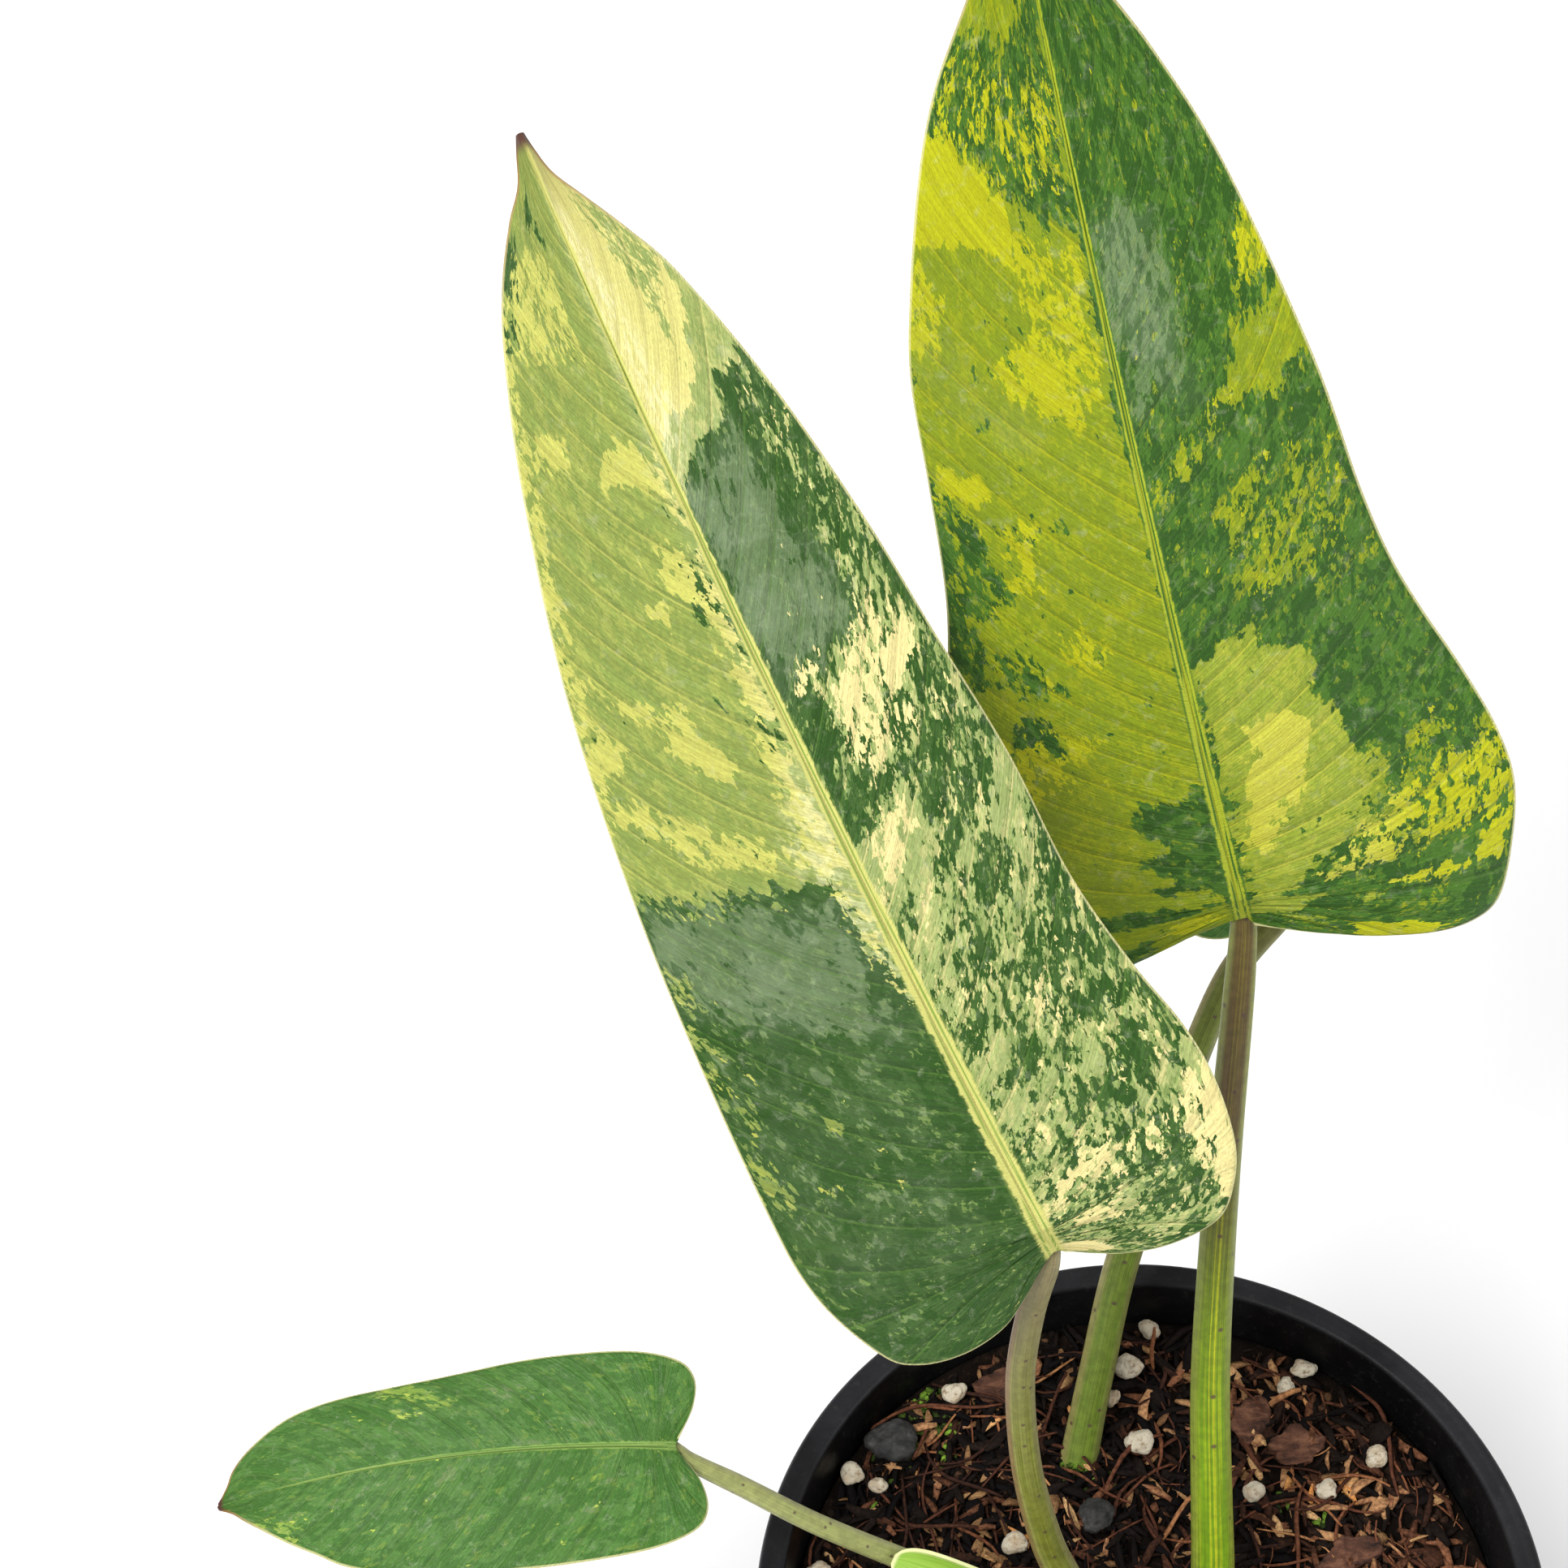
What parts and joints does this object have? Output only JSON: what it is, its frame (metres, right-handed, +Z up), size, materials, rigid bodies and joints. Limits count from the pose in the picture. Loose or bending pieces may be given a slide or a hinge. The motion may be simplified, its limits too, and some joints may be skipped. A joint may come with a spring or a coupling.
{
  "type": "potted variegated philodendron",
  "caption": "Aroid house plant with long variegated heart-based leaves on tall stalks, rooted in potting mix in a round black nursery pot that stands on its flat base.",
  "frame": {"origin": "centre of the pot's flat underside, which rests on the surface", "axes": "+Z up along the pot's axis; +Y towards the rear leaf, so that the front leaf faces -Y; +X to the right seen from the front; the low leaf points along -X"},
  "size_m": [0.3324, 0.4487, 0.5763],
  "materials": {
    "pot_plastic": "satin",
    "mix": "matte",
    "stem": "matte",
    "stalk": "satin",
    "sheath": "satin",
    "leaf_variegated": "satin",
    "leaf_green": "satin",
    "perlite": "matte",
    "pebble": "matte",
    "bark": "matte"
  },
  "bodies": {
    "root": {"nursery_pot": "pot_plastic", "potting_mix": "mix", "stem_and_roots": "stem", "petiole_front": "stalk", "petiole_back": "stalk", "petiole_rear": "stalk", "petiole_low": "stalk", "petiole_sheath": "sheath", "blade_front": "leaf_variegated", "blade_back": "leaf_variegated", "blade_rear": "leaf_green", "blade_low": "leaf_green", "perlite_1": "perlite", "perlite_2": "perlite", "perlite_3": "perlite", "perlite_4": "perlite", "perlite_5": "perlite", "perlite_6": "perlite", "perlite_7": "perlite", "perlite_8": "perlite", "perlite_9": "perlite", "perlite_10": "perlite", "perlite_11": "perlite", "perlite_12": "perlite", "perlite_13": "perlite", "perlite_14": "perlite", "perlite_15": "perlite", "perlite_16": "perlite", "perlite_17": "perlite", "perlite_18": "perlite", "perlite_19": "perlite", "pebble_1": "pebble", "pebble_2": "pebble", "pebble_3": "pebble", "bark_chip_1": "bark", "bark_chip_2": "bark", "bark_chip_3": "bark", "bark_chip_4": "bark", "bark_chip_5": "bark", "bark_chip_6": "bark", "bark_chip_7": "bark", "bark_chip_8": "bark"}
  },
  "joints": []
}
